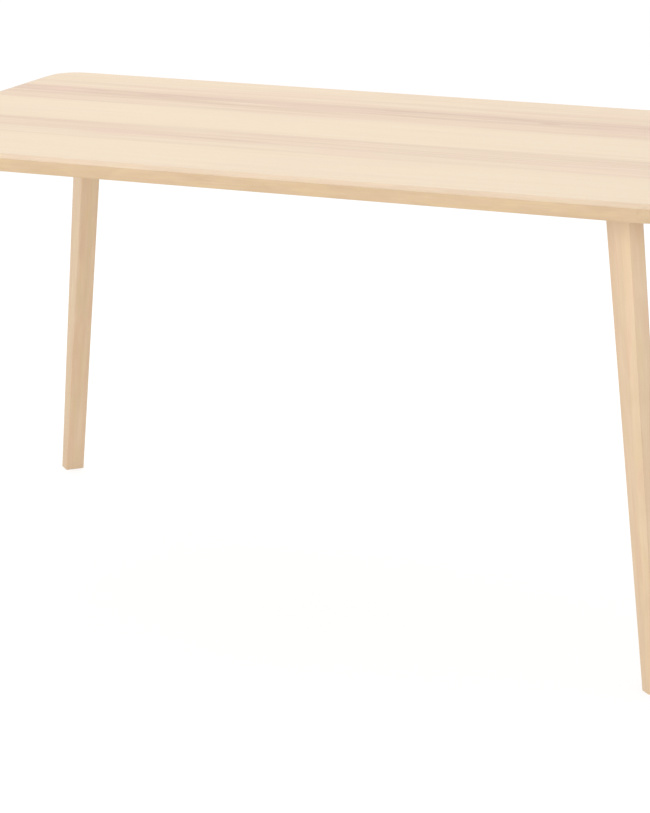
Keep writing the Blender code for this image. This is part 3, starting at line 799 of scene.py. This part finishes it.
def cross_blade(turn):
    """One of the two tapering blades that cut the cross recess of a screw head."""
    bm = bmesh.new()
    for vert in bmesh.ops.create_cube(bm, size=1.0)["verts"]:
        deep = vert.co.z > 0
        length, width = RECESS_FLOOR if deep else RECESS_FACE
        vert.co.x *= length
        vert.co.y *= width
        vert.co.z = RECESS_DEPTH if deep else -CUTTER_ROOM
    bmesh.ops.rotate(bm, verts=bm.verts, matrix=Matrix.Rotation(math.radians(turn), 3, "Z"))
    return bm


def build_screws(zinc):
    """Countersunk cross-head screws with a threaded shank, heads facing down."""
    stems = ("rail_screw", "block_screw_side", "block_screw_end")
    for node in (f"{stem}_{quarter}" for stem in stems for quarter in QUARTERS):
        low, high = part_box(node)
        middle = (low + high) / 2
        length = high.z - low.z
        profile = (
            (0.0, length),
            *thread(SCREW_R, length - SCREW_POINT, SCREW_PITCH, SCREW_THREAD_TURNS),
            (SCREW_R - THREAD_DEPTH / 2, SCREW_HEAD_H + SCREW_NECK),
            (SCREW_R, SCREW_HEAD_H),
            (SCREW_HEAD_R, SCREW_HEAD_EASE),
            (SCREW_HEAD_R - 0.0001, 0.0),
            (0.0, 0.0),
        )
        bm = turned(profile, SCREW_STEPS)
        for turn in (0, 90):
            bm = carved(bm, cross_blade(turn))
        bmesh.ops.transform(
            bm, matrix=Matrix.Translation((middle.x, middle.y, low.z)), verts=bm.verts,
        )
        piece(f"cross_head_{node}", bm, zinc, node)


# ---------------------------------------------------------------- CAD nodes that stay

def give(material, *nodes):
    """Put a finished material on CAD nodes whose shape is right as it is."""
    for node in nodes:
        slots = NODES[node].data.materials
        slots.clear()
        slots.append(material)


def dress_frame(alloy):
    """Materials of the rails, blocks, core, backing veneer, dowels and inserts."""
    rails = (
        ("side_rail_front", ALONG_X),
        ("side_rail_back", ALONG_X),
        ("end_rail_left", ALONG_Y),
        ("end_rail_right", ALONG_Y),
    )
    for number, (node, angles) in enumerate(rails):
        wood = frame_wood(f"{node}_birch", FRAME_COLOURS, angles, 2.3 + number, 0.52)
        give(wood, node)
    for number, (quarter, (sign_x, sign_y)) in enumerate(QUARTERS.items()):
        angles = grain_angles(Vector((-sign_x, sign_y, 0.0)))
        wood = frame_wood(f"block_birch_{quarter}", FRAME_COLOURS, angles, 6.4 + number, 0.52)
        give(wood, f"corner_block_{quarter}")
        angles = grain_angles(Vector((sign_x, sign_y, 0.0)))
        wood = frame_wood(f"dowel_beech_{quarter}", DOWEL_COLOURS, angles, 1.0 + number, 0.6)
        give(wood, f"leg_dowel_side_{quarter}", f"leg_dowel_end_{quarter}")
        give(alloy, f"threaded_insert_{quarter}")
    give(chipboard(), "core_board")
    give(frame_wood("backing_veneer", BACKING_COLOURS, ALONG_X, 8.8, 0.5), "underside_veneer")


# ---------------------------------------------------------------- studio

def build_floor():
    """A pale floor that only shows its upper side, so the table can be seen from below."""
    mesh = bpy.data.meshes.new("floor")
    bm = bmesh.new()
    bmesh.ops.create_grid(bm, x_segments=1, y_segments=1, size=60.0)
    bm.to_mesh(mesh)
    bm.free()
    floor = bpy.data.objects.new("floor", mesh)
    bpy.context.scene.collection.objects.link(floor)
    shader = Shader("floor_paint", 0.9)
    cloud = shader.noise(shader.stretch(shader.place, (0.8,) * 3), 2.0)
    shader.set("Base Color", shader.mix(cloud, (0.26, 0.26, 0.26), (0.24, 0.24, 0.24)))
    shader.surface.inputs["Emission Color"].default_value = (1.0, 1.0, 1.0, 1.0)
    shader.surface.inputs["Emission Strength"].default_value = 0.76
    shader.surface.inputs["Specular IOR Level"].default_value = 0.0
    clear = shader.add("ShaderNodeBsdfTransparent").outputs[0]
    back = shader.add("ShaderNodeNewGeometry").outputs["Backfacing"]
    one_sided = shader.add("ShaderNodeMixShader", {
        0: back, 1: shader.surface.outputs[0], 2: clear,
    }).outputs[0]
    shader.links.new(one_sided, shader.nodes["Material Output"].inputs["Surface"])
    mesh.materials.append(shader.material)


def build_softbox(name, power, width, height, location, target):
    """A rectangular soft light that the camera doesn't see itself."""
    lamp = bpy.data.lights.new(name, "AREA")
    lamp.shape = "RECTANGLE"
    lamp.size = width
    lamp.size_y = height
    lamp.energy = power
    softbox = bpy.data.objects.new(name, lamp)
    softbox.location = location
    aim = Vector(target) - softbox.location
    softbox.rotation_euler = aim.to_track_quat("-Z", "Y").to_euler()
    softbox.visible_camera = False
    bpy.context.scene.collection.objects.link(softbox)
    return softbox


def build_light():
    """An even white surround, a low key from the front and a softbox overhead."""
    world = bpy.data.worlds.new("studio")
    world.use_nodes = True
    background = world.node_tree.nodes["Background"]
    background.inputs["Color"].default_value = (1.0, 1.0, 1.0, 1.0)
    background.inputs["Strength"].default_value = 1.0
    bpy.context.scene.world = world
    key = build_softbox(
        "key", power=106.0, width=7.0, height=3.0,
        location=(-0.6, -4.4, 1.75), target=(0.0, 0.0, 1.0),
    )
    key.visible_glossy = False      # keeps its glare off the top when seen from the back
    build_softbox(
        "overhead", power=36.0, width=3.2, height=2.4,
        location=(-1.0, 1.6, 3.2), target=(0.0, 0.0, 0.75),
    )


def build_camera():
    """The photograph's viewpoint: a long lens in front, to the right and above."""
    data = bpy.data.cameras.new("camera")
    data.sensor_width = SENSOR_WIDTH
    data.lens = CAMERA_LENS
    data.dof.use_dof = False
    camera = bpy.data.objects.new("camera", data)
    camera.location = CAMERA_PLACE
    level = Euler((math.pi / 2 - CAMERA_PITCH, 0.0, CAMERA_YAW)).to_matrix()
    camera.rotation_euler = (level @ Matrix.Rotation(CAMERA_ROLL, 3, "Z")).to_euler()
    bpy.context.scene.collection.objects.link(camera)
    bpy.context.scene.camera = camera


zinc_plate = metal("zinc_plate", (196, 198, 202), 0.30, 0.72)
blackened_steel = metal("blackened_steel", (70, 70, 73), 0.38, 0.55)
insert_alloy = metal("insert_alloy", (182, 174, 154), 0.40, 0.70)

build_camera()
build_leaves()
build_rim()
build_legs()
build_bolts(blackened_steel, zinc_plate)
build_screws(zinc_plate)
dress_frame(insert_alloy)
build_floor()
build_light()
bpy.context.scene.view_settings.view_transform = "Standard"
